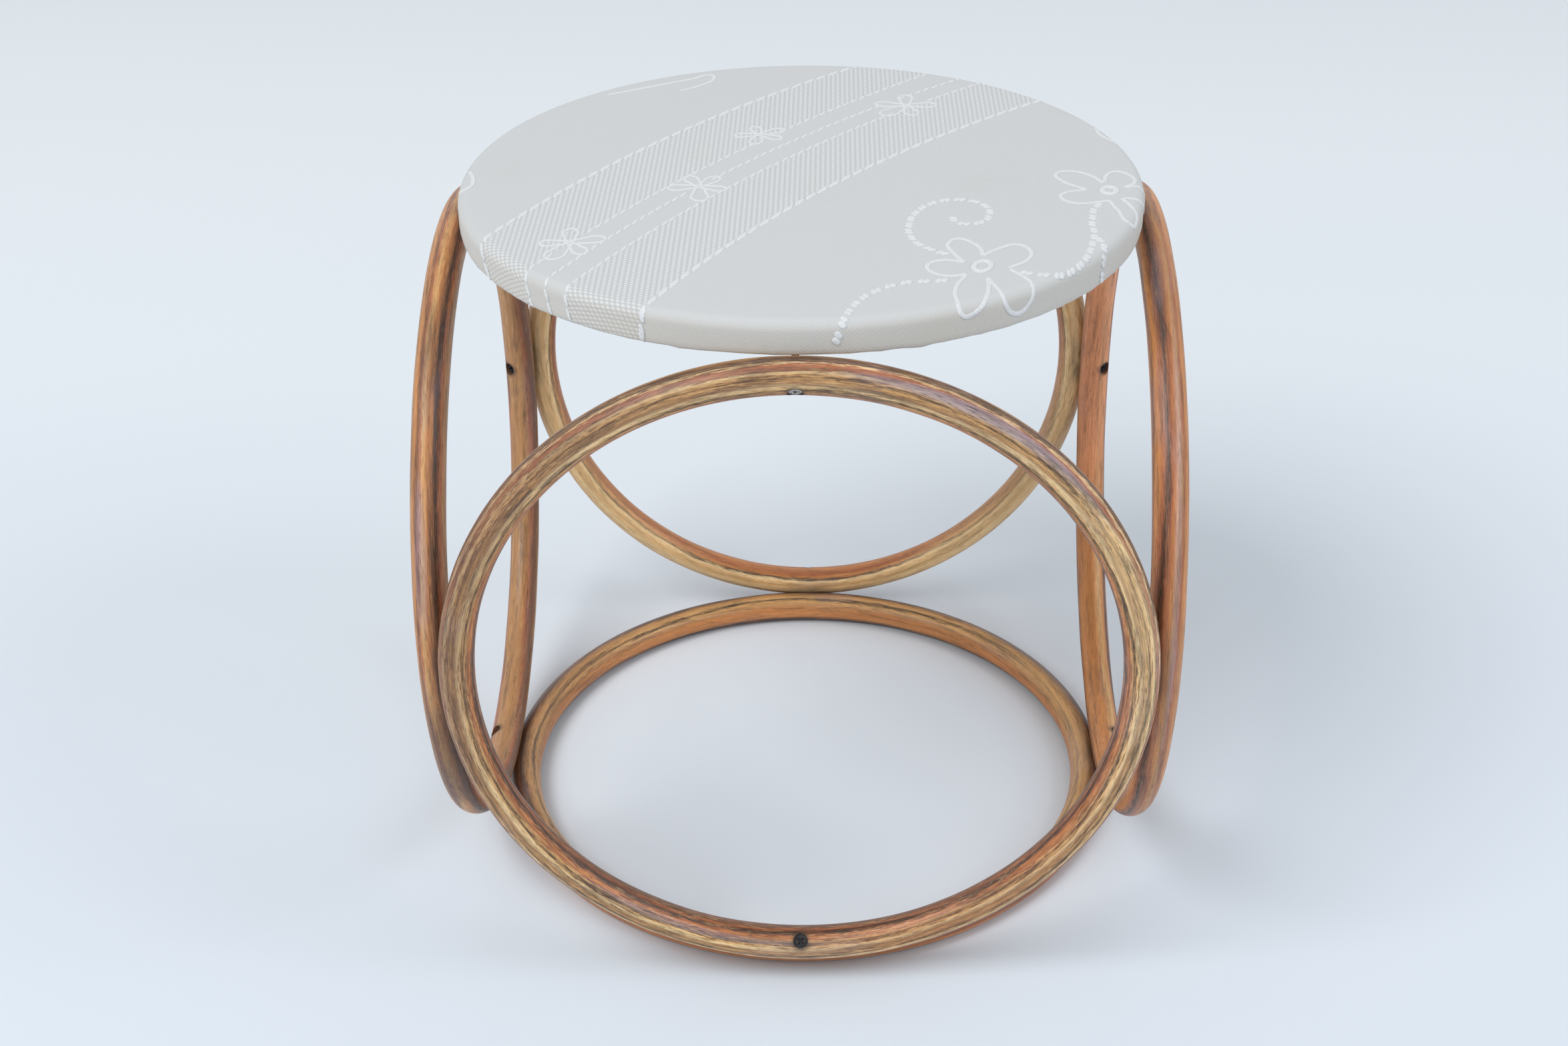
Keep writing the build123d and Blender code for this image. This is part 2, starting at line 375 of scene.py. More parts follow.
# Outlines of the holes, from the middle of the rod: radius and height in millimetres.
THROUGH_HOLE = [(0, -12), (4.4, -12), (4.4, -7.6), (4.25, -7.6), (2.4, -5.75), (2.4, 12), (0, 12)]
PILOT_HOLE = [(0, 0), (2.3, 0), (2.3, 18.45), (0, 22.45)]
DRILL_SIDES = 40


def drill(bm, place, outline):
    tool = bmesh.new()
    line = chain(tool, [(radius * MM, height * MM) for radius, height in outline])
    spun(tool, line, DRILL_SIDES)
    tool.transform(place)
    mesh = bpy.data.meshes.new("drill")
    tool.to_mesh(mesh)
    tool.free()
    bm.from_mesh(mesh)
    bpy.data.meshes.remove(mesh)


def drill_tools(hoop):
    """One hoop's screw holes: wide ones for heads, narrow ones for its neighbours' threads."""
    bm = bmesh.new()
    for through, quadrant, driven in SCREWS:
        if hoop == through:
            drill(bm, screw_place(through, quadrant), THROUGH_HOLE)
        if hoop == driven:
            drill(bm, screw_place(through, quadrant), PILOT_HOLE)
    return bm


print(len(SCREWS), "screws")


# %% Hoops
def new_object(name, bm):
    mesh = bpy.data.meshes.new(name)
    bm.to_mesh(mesh)
    bm.free()
    made = bpy.data.objects.new(name, mesh)
    scene.collection.objects.link(made)
    return made


def cut(piece, tools):
    """Takes the tools out of the piece and throws them away."""
    tool = new_object("tools", tools)
    cutter = piece.modifiers.new("cut", "BOOLEAN")
    cutter.operation, cutter.solver, cutter.object = "DIFFERENCE", "EXACT", tool
    shaped = piece.evaluated_get(bpy.context.evaluated_depsgraph_get())
    mesh = bpy.data.meshes.new_from_object(shaped)
    piece.modifiers.clear()
    spare, piece.data = piece.data, mesh
    bpy.data.meshes.remove(spare)
    bpy.data.meshes.remove(tool.data)


def dress(piece, slot, *stands_for):
    """Makes a finished piece move with the stool and take the place of its plain solid."""
    piece.data.shade_smooth()
    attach(piece, "root")
    if stands_for:
        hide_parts(*stands_for)
    return piece


SEED_STEP = 7.3
SHARP_ANGLE = math.radians(32)
hoops = {}
for number, (side, place) in enumerate(HOOPS.items()):
    rod = bent_rod(number * SEED_STEP)
    rod.transform(place)
    hoops[side] = new_object(side + "_hoop", rod)
    cut(hoops[side], saw_tools(side))
    cut(hoops[side], drill_tools(side))
    if side == "base":
        cut(hoops[side], floor_tool())
    dress(hoops[side], "bentwood", side + "_ring")
    hoops[side].data.set_sharp_from_angle(angle=SHARP_ANGLE)
    print(side, "hoop has", len(hoops[side].data.polygons), "faces")

# %% [markdown]
# ## Streaked wood
# The rods are stained cane: straw-yellow and rust streaks run along them, with dark pores like
# pencil ticks and a few long dark lines. The streaks keep their place round the rod for a long
# way, so the colour is looked up by the angle round the rod, and slow noise makes the bands sway.
# Finer noise, stretched along the rod, frays their edges. Where two hoops touch, the rod is darkened,
# partly as dirt and partly as painted contact shade, and it is darkened round the screw heads too.
# Grey patches are painted reflection, the sky's sheen on the varnish, and one orange patch on the right
# hoop is painted light. The position along the rod starts again at the glue line, so the grain
# breaks there as it would on a jointed rod.

# %% Wood tones
WOOD = {
    "straw": tone(246, 212, 158),
    "honey": tone(212, 162, 102),
    "olive": tone(164, 120, 76),
    "rust": tone(168, 98, 60),
    "amber": tone(202, 132, 72),
    # A bright orange used only as painted light on the right hoop.
    "tawny": tone(228, 148, 104),
    "tan": tone(180, 130, 82),
    "brown": tone(120, 76, 48),
    "umber": tone(48, 31, 23),
    # Grey-lavender, used only as painted reflection: the sky's sheen on the varnish.
    "plum": tone(154, 138, 148),
}
# Degrees round the rod, where 0 is the outer edge of the hoop and 90 its outward side.
BANDS = {
    "front": (
        "-180 brown, -130 brown, -70 olive, -28 honey, -8 olive, 2 brown, 8 umber, 13 olive, "
        "17 umber, 22 brown, 26 straw, 31 rust, 44 rust, 49 brown, 53 straw, 64 honey, 72 umber, "
        "77 honey, 92 olive, 104 straw, 112 honey, 120 umber, 126 honey, 134 rust, 141 amber, "
        "148 rust, 154 brown, 160 umber, 172 rust, 180 brown"
    ),
    "back": (
        "-180 amber, -150 rust, -134 amber, -124 umber, -117 straw, -95 honey, -70 straw, -40 honey, "
        "0 olive, 40 rust, 70 straw, 84 umber, 95 honey, 130 olive, 150 rust, 180 amber"
    ),
    "left": (
        "-180 tan, -160 tan, -142 rust, -126 brown, -108 brown, -90 olive, -66 tan, -52 rust, "
        "-36 umber, -24 brown, -6 amber, 8 honey, 22 rust, 30 brown, 40 amber, 60 tan, 82 amber, "
        "110 rust, 140 tan, 160 tan, 180 tan"
    ),
    "right": (
        "-180 amber, -140 amber, -105 amber, -88 brown, -72 amber, -58 amber, -44 rust, -26 umber, "
        "-10 rust, 8 amber, 22 tan, 34 rust, 50 amber, 72 amber, 100 rust, 118 umber, 132 amber, "
        "160 honey, 180 amber"
    ),
    # The base hoop is brown and umber along its upper outer side.
    "base": (
        "-180 amber, -166 amber, -148 tan, -134 honey, -122 umber, -112 honey, -92 tan, -76 umber, "
        "-62 brown, -44 umber, -24 brown, 0 brown, 16 rust, 40 amber, 90 rust, 140 umber, 162 amber, "
        "180 amber"
    ),
}


def band_stops(text):
    pairs = [pair.split() for pair in text.split(", ")]
    return [(float(angle) / 360 + 0.5, WOOD[name]) for angle, name in pairs]


print(len(WOOD), "tones in", len(BANDS), "hoops")

# %% Patches and grain
# Patches: degrees along the hoop and round the rod, width both ways, tone and strength.
SPOTS = {
    "front": [
        # Painted reflection: a grey sheen of the sky on the varnish.
        (58, 52, 30, 22, "plum", 0.8),
        (165, 60, 58, 75, "brown", 0.6),
        (14, 74, 36, 50, "straw", 0.3),
        (105, 70, 30, 50, "brown", 0.3),
        # Painted reflection: a grey sheen of the sky on the varnish.
        (248, 126, 26, 16, "plum", 0.5),
        (305, 110, 40, 50, "rust", 0.3),
    ],
    "back": [
        (210, -90, 50, 120, "straw", 0.45),
        (330, -90, 50, 90, "straw", 0.3),
    ],
    "left": [
        (338, 20, 20, 120, "umber", 0.6),
        (52, 10, 14, 40, "umber", 0.4),
        # Painted reflection: a grey sheen of the sky on the varnish.
        (20, 20, 16, 30, "plum", 0.4),
        (160, -130, 40, 60, "brown", 0.4),
    ],
    "right": [
        # Painted reflection: a grey sheen of the sky on the varnish.
        (160, 18, 50, 16, "plum", 0.35),
        (110, -20, 22, 40, "umber", 0.4),
        # Painted light: the right hoop's far inner face is brightened to orange where it lies in shade.
        (10, 180, 60, 110, "tawny", 0.7),
    ],
    "base": [
        # Partly the wood's honey streak and partly painted light: the base hoop's right side is
        # lightened where it lies in shade.
        (0, -112, 60, 60, "honey", 0.5),
        (190, -80, 50, 120, "brown", 0.3),
    ],
}
# Noise that follows the rod: cells per metre along and across it, start, detail and roughness.
GRAIN = {
    "streak": (13, 400, 0.0, 4, 0.62),
    "fibre": (80, 1000, 5.0, 4, 0.7),
    "hair": (150, 2400, 9.0, 2, 0.6),
    "mottle": (34, 190, 15.0, 4, 0.7),
    "smudge": (24, 280, 23.0, 5, 0.74),
    "tick": (150, 1900, 0.0, 2, 0.5),
    "tick_field": (18, 160, 0.0, 2, 0.5),
}
# Slow noise: cells per metre in the hoop's plane and out of it, start and detail.
SLOW = {"drift": (6, 25, 0.0, 1), "slow": (10, 60, 7.0, 2), "bloom": (13, 95, 3.0, 2)}
NOISE_SHIFT = 3.1
# Where a screw head lies round the rod, and the width of the darkening round it both ways, in degrees.
HEAD_SIDE, HEAD_DARKENING = 135, (2.2, 48)
SEAM_WIDTH = 0.7 * MM
print(sum(len(rows) for rows in SPOTS.values()), "patches")


# %% Wood finish
def streaked_wood(side, sway, split, dark, bloom, thread):
    """One hoop's wood.

    sway moves the bands round the rod, split frays their edges, dark adds smudges, bloom paints
    grey patches of the sky's sheen on the varnish as painted reflection, and thread the fine light and
    dark fibres.
    """
    material, flow = new_finish(side + "_wood")
    place = flow.node("ShaderNodeTexCoord", out="Object")
    turned = {"Vector": place, "Location": HOOPS[side].translation, "Rotation": HOOPS[side].to_euler()}
    x, y, z = flow.node("ShaderNodeMapping", {"vector_type": "TEXTURE"}, turned).parts()
    out = (x * x + y * y) ** 0.5 - HOOP_RADIUS
    theta = flow.maths("ARCTAN2", y, x)
    phi = flow.maths("ARCTAN2", z, out)
    lap = math.tau * HOOP_RADIUS
    run = ((theta - math.radians(SCARF_ANGLES[side])) * HOOP_RADIUS - z / math.tan(SCARF_SLOPE)) % lap
    shift = NOISE_SHIFT * list(HOOPS).index(side)

    def grain(name):
        """Noise stretched along the rod, which starts again at the glue line."""
        along, across, start, detail, roughness = GRAIN[name]
        sockets = {0: run * along + (shift + start), 1: out * across, 2: z * across}
        return flow.node("ShaderNodeCombineXYZ", None, sockets).cloud(1.0, detail, roughness)

    def slow_noise(name):
        """Noise for slow changes, which goes on past the glue line."""
        around, across, start, detail = SLOW[name]
        sockets = {0: x * around + (shift + start), 1: y * around, 2: z * across}
        return flow.node("ShaderNodeCombineXYZ", None, sockets).cloud(1.0, detail)

    def spot(at_theta, at_phi, wide, tall):
        """1 in the middle of a patch of the rod's skin, given in degrees, and 0 outside it."""
        along = (theta - math.radians(at_theta) + math.pi) % math.tau - math.pi
        round_rod = (phi - math.radians(at_phi) + math.pi) % math.tau - math.pi
        along, round_rod = along / math.radians(wide), round_rod / math.radians(tall)
        return 1 - (along * along + round_rod * round_rod).step(0.15, 1.0)

    drift, slow = slow_noise("drift"), slow_noise("slow")
    streak, fibre, hair, mottle = (grain(name) for name in ("streak", "fibre", "hair", "mottle"))
    turn = phi / math.tau + 0.5
    turn = (turn + (drift - 0.5) * sway + (streak - 0.5) * split + (fibre - 0.5) * 0.1) % 1.0
    colour = turn.node("ShaderNodeValToRGB", {"stops": band_stops(BANDS[side])}, {0: turn})
    for *where, name, strength in SPOTS[side]:
        colour = (spot(*where) * (streak * 1.2 + 0.4) * strength).between(colour, WOOD[name])
    # Painted reflection: grey patches of the sky's sheen on the varnish, here and there along the hoop.
    colour = (slow_noise("bloom").step(0.56, 0.7) * bloom).between(colour, WOOD["plum"])
    smudge = grain("smudge").step(0.47, 0.68) * dark
    colour = smudge.between(colour, WOOD["umber"])
    glint = hair.step(0.5, 0.7) * streak.step(0.4, 0.62) * thread * 0.6
    colour = glint.between(colour, WOOD["straw"])
    fray = fibre.step(0.46, 0.68) * (slow.step(0.3, 0.7) * 0.6 + 0.4) * thread
    colour = fray.between(colour, WOOD["umber"])
    pores = grain("tick").step(0.57, 0.68) * grain("tick_field").step(0.38, 0.62)
    colour = (pores * thread).between(colour, WOOD["umber"])
    shade = 0.08 + streak * 0.6 + mottle * 0.5 + fibre * 0.26 + hair * 0.2 + slow * 0.4
    colour = colour.shaded(shade)
    # Painted contact shade and dirt: where two hoops touch, the rod is darkened on the side that faces
    # its neighbour.
    quarter = abs((theta + math.pi / 4) % (math.pi / 2) - math.pi / 4)
    contact_dirt_and_shade = (1 - quarter.step(0.03, 0.13)) * (1 - abs(phi + math.pi / 4).step(0.5, 1.3))
    colour = (contact_dirt_and_shade * mottle.step(0.3, 0.6) * 0.6).between(colour, WOOD["umber"])
    # Round each sunk screw head the rod is darkened.
    for through, quadrant, _ in SCREWS:
        if through == side:
            colour = (spot(quadrant, HEAD_SIDE, *HEAD_DARKENING) * 0.75).between(colour, WOOD["umber"])
    seam = abs(run - lap / 2).step(lap / 2 - SEAM_WIDTH, lap / 2)
    colour = (seam * 0.15).between(colour, WOOD["umber"])
    gloss = 0.38 + fibre * 0.2 + pores * 0.2
    height = streak * 0.4 + fibre * 0.45 + hair * 0.25 - pores * 0.7
    finish(material.name, colour, gloss, height, 0.12 * MM, Coat_Weight=0.2, Coat_Roughness=0.25)
    return material


# Sway, split, dark, sheen patches (painted reflection) and thread of each hoop.
HOOP_LOOK = {
    "front": (0.12, 0.07, 0.65, 0.18, 0.65),
    "back": (0.1, 0.06, 0.3, 0.2, 0.4),
    "left": (0.2, 0.08, 0.6, 0.15, 0.3),
    "right": (0.2, 0.08, 0.5, 0.2, 0.25),
    "base": (0.12, 0.08, 0.45, 0.2, 0.3),
}
for side, look in HOOP_LOOK.items():
    hoops[side].data.materials.clear()
    hoops[side].data.materials.append(streaked_wood(side, *look))

# %% [markdown]
# ## The seat's cloth
# The cover is one round of cloth, pulled over a padded board and stapled underneath. It is a line
# spun about the middle: over the low crown, round the edge, down the rim, round the lower corner
# and in along the hem. The length walked along that line is kept at every vertex, so the flat
# round of cloth is known too, and a pattern drawn on the flat cloth lands where it belongs.

# %% The line of the cloth
low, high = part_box("seat_cover")
SEAT_RADIUS = high.x
SEAT_BOTTOM, SEAT_TOP = low.z, high.z
CROWN, EDGE, BEVEL, HEM_WIDTH = 2.0 * MM, 6.0 * MM, 1.5 * MM, 36.0 * MM
CLOTH = 0.9 * MM
flat_radius = SEAT_RADIUS - EDGE
rim_top = SEAT_TOP - CROWN - EDGE
TOP_STEPS, EDGE_STEPS, RIM_STEPS, HEM_STEPS = 26, 8, 5, 9

line = []
for n in range(TOP_STEPS + 1):
    line.append((flat_radius * n / TOP_STEPS, SEAT_TOP - CROWN * (n / TOP_STEPS) ** 2))
for n in range(1, EDGE_STEPS + 1):
    turn = n * math.pi / (2 * EDGE_STEPS)
    line.append((flat_radius + EDGE * math.sin(turn), rim_top + EDGE * math.cos(turn)))
for n in range(1, RIM_STEPS + 1):
    line.append((SEAT_RADIUS, rim_top + (SEAT_BOTTOM + BEVEL - rim_top) * n / RIM_STEPS))
line.append((SEAT_RADIUS - BEVEL * 0.3, SEAT_BOTTOM + BEVEL * 0.3))
line.append((SEAT_RADIUS - BEVEL, SEAT_BOTTOM))
for n in range(1, HEM_STEPS + 1):
    line.append((SEAT_RADIUS - BEVEL - (HEM_WIDTH - BEVEL) * n / HEM_STEPS, SEAT_BOTTOM))
walked = [0.0]
for start, end in zip(line, line[1:]):
    walked.append(walked[-1] + math.dist(start, end))
EDGE_START = walked[TOP_STEPS]
HEM_START = walked[-1 - HEM_STEPS]
CORNER = walked[-2 - HEM_STEPS]


def laid(x, y, height):
    """The place on the seat of a point of the flat cloth, and so much above it."""
    length, angle = math.hypot(x, y), math.atan2(y, x)
    n = min(max(bisect_right(walked, length), 1), len(line) - 1)
    share = (length - walked[n - 1]) / (walked[n] - walked[n - 1])
    (r0, z0), (r1, z1) = line[n - 1], line[n]
    span = math.dist(line[n - 1], line[n])
    radius = r0 + (r1 - r0) * share + height * (z0 - z1) / span
    rise = z0 + (z1 - z0) * share + height * (r1 - r0) / span
    return Vector((radius * math.cos(angle), radius * math.sin(angle), rise))


# %% Seat cover
CLOTH_STEPS = 224
HOOP_CALM, HOOP_FADE, HEM_FADE = 0.09, 0.12, 8 * MM
FOLD_DEPTH, PULL_DEPTH = 1.6 * MM, 0.7 * MM
TUCKS, FOLDS = (9, 2.0), (26, 5.0)


def ripple(angle, waves, seed):
    """Uneven waves round the seat."""
    return noise.noise(Vector((math.cos(angle) * waves, math.sin(angle) * waves, seed)))


bm = bmesh.new()
path = bm.verts.layers.float.new("path")
start = chain(bm, line)
for vert, length in zip(start, walked):
    vert[path] = length
spun(bm, start, CLOTH_STEPS)
flat_map = bm.loops.layers.uv.new("flat")
for face in bm.faces:
    for loop in face.loops:
        angle = math.atan2(loop.vert.co.y, loop.vert.co.x)
        loop[flat_map].uv = Vector((math.cos(angle), math.sin(angle))) * loop.vert[path]
for vert in bm.verts:
    length, angle = vert[path], math.atan2(vert.co.y, vert.co.x)
    from_hoop = abs((angle + math.pi / 4) % (math.pi / 2) - math.pi / 4)
    free = clamped((from_hoop - HOOP_CALM) / HOOP_FADE)
    pull = clamped((length - EDGE_START) / (HEM_START - EDGE_START))
    tuck, fold = ripple(angle, *TUCKS), ripple(angle, *FOLDS)
    if length > HEM_START:
        vert.co.z -= free * max(fold, 0) * FOLD_DEPTH * min((length - HEM_START) / HEM_FADE, 1)
    else:
        outward = Vector((math.cos(angle), math.sin(angle), 0))
        vert.co -= outward * pull * (0.45 + 0.5 * tuck + 0.5 * fold * pull) * PULL_DEPTH
        vert.co.z -= free * pull ** 4 * max(fold + 0.15, 0) * FOLD_DEPTH
seat_cloth = new_object("seat_cloth", bm)
thickness = seat_cloth.modifiers.new("thickness", "SOLIDIFY")
thickness.thickness, thickness.offset = CLOTH, -1
dress(seat_cloth, "cover_cloth", "seat_cover")
print("seat cloth", len(seat_cloth.data.polygons), "faces")

# %% [markdown]
# ## Stitched lines
# Five stitched lines cross the seat as a band, with longer stitches on its two borders, and
# curled stems of bead stitches join the big flowers. Each stitch is two or three strands, one after
# another and turned at a slant. All of it is made flat first, then every vertex is laid on the seat.

# %% Stitch lines
BAND_TURN = math.radians(54)
# Shift in millimetres, lean, and bow in each metre.
BAND_LINES = {
    "upper_border": (99.1, 0.0, -0.484),
    "first_inner": (49.7, 0.003, -0.33),
    "middle": (34.7, -0.012, -0.43),
    "last_inner": (19.3, -0.012, -0.42),
    "lower_border": (-26.6, -0.012, -0.505),
}
along_band = Vector((math.cos(BAND_TURN), math.sin(BAND_TURN)))
across_band = Vector((-math.sin(BAND_TURN), math.cos(BAND_TURN)))


def band_point(name, reach):
    shift, lean, bow = BAND_LINES[name]
    return along_band * reach + across_band * (shift * MM + lean * reach + bow * reach * reach)


def evenly(points, pitch):
    """Places and directions a pitch apart along a line of points."""
    places, spare = [], pitch / 2
    for start, end in zip(points, points[1:]):
        step = end - start
        while spare < step.length:
            places.append((start + step.normalized() * spare, math.atan2(step.y, step.x)))
            spare += pitch
        spare -= step.length
    return places


def bezier(data, points):
    """Adds a smooth line through flat points, given in millimetres, to a curve."""
    spline = data.splines.new("BEZIER")
    spline.bezier_points.add(len(points) - 1)
    for knot, (x, y) in zip(spline.bezier_points, points):
        knot.co = (x * MM, y * MM, 0)
        knot.handle_left_type = knot.handle_right_type = "AUTO"
    return spline


def smooth(points):
    """A curve through given points, in millimetres, as many short steps in metres."""
    data = bpy.data.curves.new("route", "CURVE")
    bezier(data, points)
    route = bpy.data.objects.new("route", data)
    mesh = bpy.data.meshes.new_from_object(route)
    steps = [vert.co.to_2d() for vert in mesh.vertices]
    bpy.data.meshes.remove(mesh)
    bpy.data.curves.remove(data)
    return steps


print(len(BAND_LINES), "stitched lines")


# %% Stitches
def one_strand():
    """A short blunt length of thread, 2 long and 2 thick, that every stitch is made from."""
    bm = bmesh.new()
    bmesh.ops.create_uvsphere(bm, u_segments=8, v_segments=6, radius=1)
    bmesh.ops.rotate(bm, verts=bm.verts[:], matrix=Matrix.Rotation(math.pi / 2, 3, "Y"))
    for vert in bm.verts:
        round_it = Vector((0, vert.co.y, vert.co.z))
        if 0 < round_it.length < 0.99:
            vert.co += round_it * (round_it.length ** -0.45 - 1)
    mesh = bpy.data.meshes.new("strand")
    bm.to_mesh(mesh)
    bm.free()
    return mesh


STRAND = one_strand()
STITCH_HEIGHT = 0.5 * MM


def stitch(bm, place, angle, strands, apart, long, wide, slant):
    """A few strands one after another along the line, each turned by the slant; in millimetres."""
    turn = Matrix.Translation((*place, 0)) @ Matrix.Rotation(angle, 4, "Z")
    sizes = (long / 2 * MM, wide / 2 * MM, STITCH_HEIGHT, 1)
    shape = Matrix.Rotation(slant, 4, "Z") @ Matrix.Diagonal(sizes)
    for strand in range(strands):
        shift = (strand - (strands - 1) / 2) * apart * MM
        copy = STRAND.copy()
        copy.transform(turn @ Matrix.Translation((shift, 0, 0)) @ shape)
        bm.from_mesh(copy)
        bpy.data.meshes.remove(copy)


# Strands, how far apart, length and width, and the slant in radians.
BORDER_STITCH = (3, 2.3, 6.6, 2.7, 0.38)
INNER_STITCH = (2, 1.6, 5.6, 2.1, 0.25)
BEAD_STITCH = (2, 3.3, 5.0, 3.8, 1.05)
print("a strand has", len(STRAND.polygons), "faces")

# %% Flowers
# A middle in millimetres, then the angle and the length of each petal.
SMALL_FLOWERS = [
    ((-123, -98), ((95, 19), (16, 20), (-60, 18), (-114, 24), (181, 17))),
    ((-57, -21), ((116, 18), (56, 18), (-18, 16.5), (-87, 22), (187, 18.5))),
    ((-25, 61.5), ((107, 14.5), (33, 17), (-31, 15.5), (-101, 17), (186, 15.5))),
    ((64, 113), ((90, 20), (5, 19.5), (-77, 19), (-129, 24), (170, 19.5))),
]
LARGE_PETALS = [
    ((88, -125), (82.4, -112), (80.6, -102), (86.4, -95), (93.6, -100), (98, -109), (98.4, -117)),
    ((98.4, -117), (108, -107), (118, -102), (124, -109), (122, -121), (111, -132)),
    ((88, -125), (76, -123), (68.4, -130.4), (73, -140), (82, -142.4), (88, -140)),
    ((88, -141.6), (82.4, -156), (82, -170), (86.4, -180.6), (93, -177), (98, -164), (99.6, -145)),
    ((99.6, -145), (103.6, -157), (109, -167), (118, -169.6), (124, -164), (121, -148), (112, -134)),
    ((173, -14), (166, -2), (155, 3.6), (147, -1), (150, -12), (162, -24)),
    ((162, -24.4), (149, -30), (147, -37), (153, -44), (162, -44), (173, -40)),
    ((173.6, -40), (177, -54), (183, -70), (188, -62), (185, -48), (181, -37)),
    ((173.6, -13), (177, 0), (182, 4), (189, -1), (191, -12), (184, -20)),
    ((184, -20), (196, -18), (204, -26), (198, -36), (182, -36)),
    ((-124, 137), (-97, 152), (-71, 167), (-60, 174), (-58, 166), (-65, 154), (-78, 143)),
    ((-193, 8), (-189, -4), (-190, -18), (-196, -22)),
    ((181, 84), (178, 72), (181, 60), (189, 52), (197, 50)),
]
# A middle, two half-widths and a lean in degrees.
RINGS = [((97.4, -130.6), 4.2, 6.6, 70), ((175, -25.6), 4.0, 5.0, 80)]
# The pitch of the beads and the points that the stem goes through.
STEMS = [
    (8.6, [(81, -116), (75, -112.4), (69, -107), (63.6, -100), (61, -92), (60, -83), (61, -74),
           (62.6, -65.6), (66, -57.4), (70.4, -50.4), (77, -44.4), (86, -41), (94.4, -42),
           (101.6, -46.6), (105.4, -55), (105, -63), (101.4, -71), (93, -75), (86.4, -72),
           (85.6, -66), (89, -62)]),
    (9.4, [(80, -147), (69, -149), (60, -149.6), (52, -153), (45, -157.6), (37, -165), (31, -175),
           (25.6, -189), (22.4, -201), (20, -212)]),
    (9.0, [(116, -136), (122, -138.6), (129, -140), (136, -139), (142, -135), (148, -128), (152.4, -120),
           (156, -109), (158.6, -98), (160.6, -86), (160.6, -74), (162, -62), (164, -52), (167, -46)]),
    (9.0, [(161, -90), (164, -100), (165.6, -110), (171, -116), (180, -122)]),
]
print(len(SMALL_FLOWERS), "small flowers and", len(LARGE_PETALS), "large petals")

# %% Cords for the petals
# Radius, and the share of its height that is left.
LARGE_CORD, SMALL_CORD, EYE_CORD = (1.45 * MM, 0.22), (1.1 * MM, 0.3), (1.9 * MM, 0.6)
PETAL_SHAPE = ((0.08, 0), (0.45, 0.17), (0.8, 0.2), (0.97, 0), (0.8, -0.2), (0.45, -0.17))


def cord_mesh(bm, loops, radius, pressed, closed):
    """Round cords along loops of flat points, pressed to a share of their height, added to bm."""
    data = bpy.data.curves.new("cords", "CURVE")
    data.dimensions = "3D"
    data.bevel_depth, data.bevel_resolution, data.resolution_u = radius, 2, 5
    data.use_fill_caps = True
    for loop in loops:
        bezier(data, loop).use_cyclic_u = closed
    cords = bpy.data.objects.new("cords", data)
    mesh = bpy.data.meshes.new_from_object(cords)
    mesh.transform(Matrix.Diagonal((1, 1, pressed, 1)))
    bm.from_mesh(mesh)
    bpy.data.meshes.remove(mesh)
    bpy.data.curves.remove(data)


def small_petal(centre, angle, length):
    """A narrow teardrop that starts and ends at the flower's middle."""
    turn = Matrix.Rotation(math.radians(angle), 2)
    return [Vector(centre) + turn @ Vector((x * length, y * length)) for x, y in PETAL_SHAPE]


def eye_ring(centre, wide, tall, lean):
    """An oval of eight points round a large flower's middle."""
    turn = Matrix.Rotation(math.radians(lean - 90), 2)
    corners = [n * math.pi / 4 for n in range(8)]
    return [Vector(centre) + turn @ Vector((wide * math.cos(a), tall * math.sin(a))) for a in corners]


for radius, pressed in (LARGE_CORD, SMALL_CORD, EYE_CORD):
    print("cord", round(2 * radius / MM, 1), "mm wide,", round(2 * radius * pressed / MM, 2), "mm high")

# %% Lay the needlework on the seat
work = bmesh.new()
KEEP_INSIDE = CORNER - 1.5 * MM
FLOWER_ROOM = 14 * MM
BORDER_PITCH, INNER_PITCH = 11.2 * MM, 7.6 * MM
flower_spots = [Vector(centre) * MM for centre, _ in SMALL_FLOWERS]
for name in BAND_LINES:
    border = name.endswith("border")
    pitch, kind = (BORDER_PITCH, BORDER_STITCH) if border else (INNER_PITCH, INNER_STITCH)
    route = [band_point(name, reach * MM) for reach in range(-220, 221, 2)]
    for place, angle in evenly(route, pitch):
        covered = not border and any((place - spot).length < FLOWER_ROOM for spot in flower_spots)
        if place.length < KEEP_INSIDE and not covered:
            stitch(work, place, angle, *kind)
for pitch, points in STEMS:
    for place, angle in evenly(smooth(points), pitch * MM):
        if place.length < KEEP_INSIDE:
            stitch(work, place, angle, *BEAD_STITCH)
small_petals = [small_petal(centre, *petal) for centre, petals in SMALL_FLOWERS for petal in petals]
cord_mesh(work, LARGE_PETALS, *LARGE_CORD, False)
cord_mesh(work, small_petals, *SMALL_CORD, True)
cord_mesh(work, [eye_ring(*ring) for ring in RINGS], *EYE_CORD, True)
for vert in work.verts:
    vert.co = laid(*vert.co)
bmesh.ops.recalc_face_normals(work, faces=work.faces[:])
seat_stitches = dress(new_object("seat_stitches", work), "cover_cloth")
print("needlework", len(seat_stitches.data.polygons), "faces")

# %% [markdown]
# ## Ivory cloth
# The ground is a fine twill, whose slanted ribs show best on the rim. Between the borders and the
# inner lines lie two strips of basket weave: small slanted dashes in staggered columns. Both are
# written as sums on the flat cloth, so they run over the edge without a break.

# %% Cloth finish
COLUMN_MM, ROW_MM = 2.9, 2.6
DASH_COS, DASH_SIN, DASH_LONG, DASH_SHORT = 0.643, 0.766, 1.95, 1.1
TWILL_MM, WEFT_MM, TWILL_COS, TWILL_SIN = 1.32, 0.75, 0.77, 0.64
STRIP_EDGE, RIM_EDGE = 0.8 * MM, 4 * MM


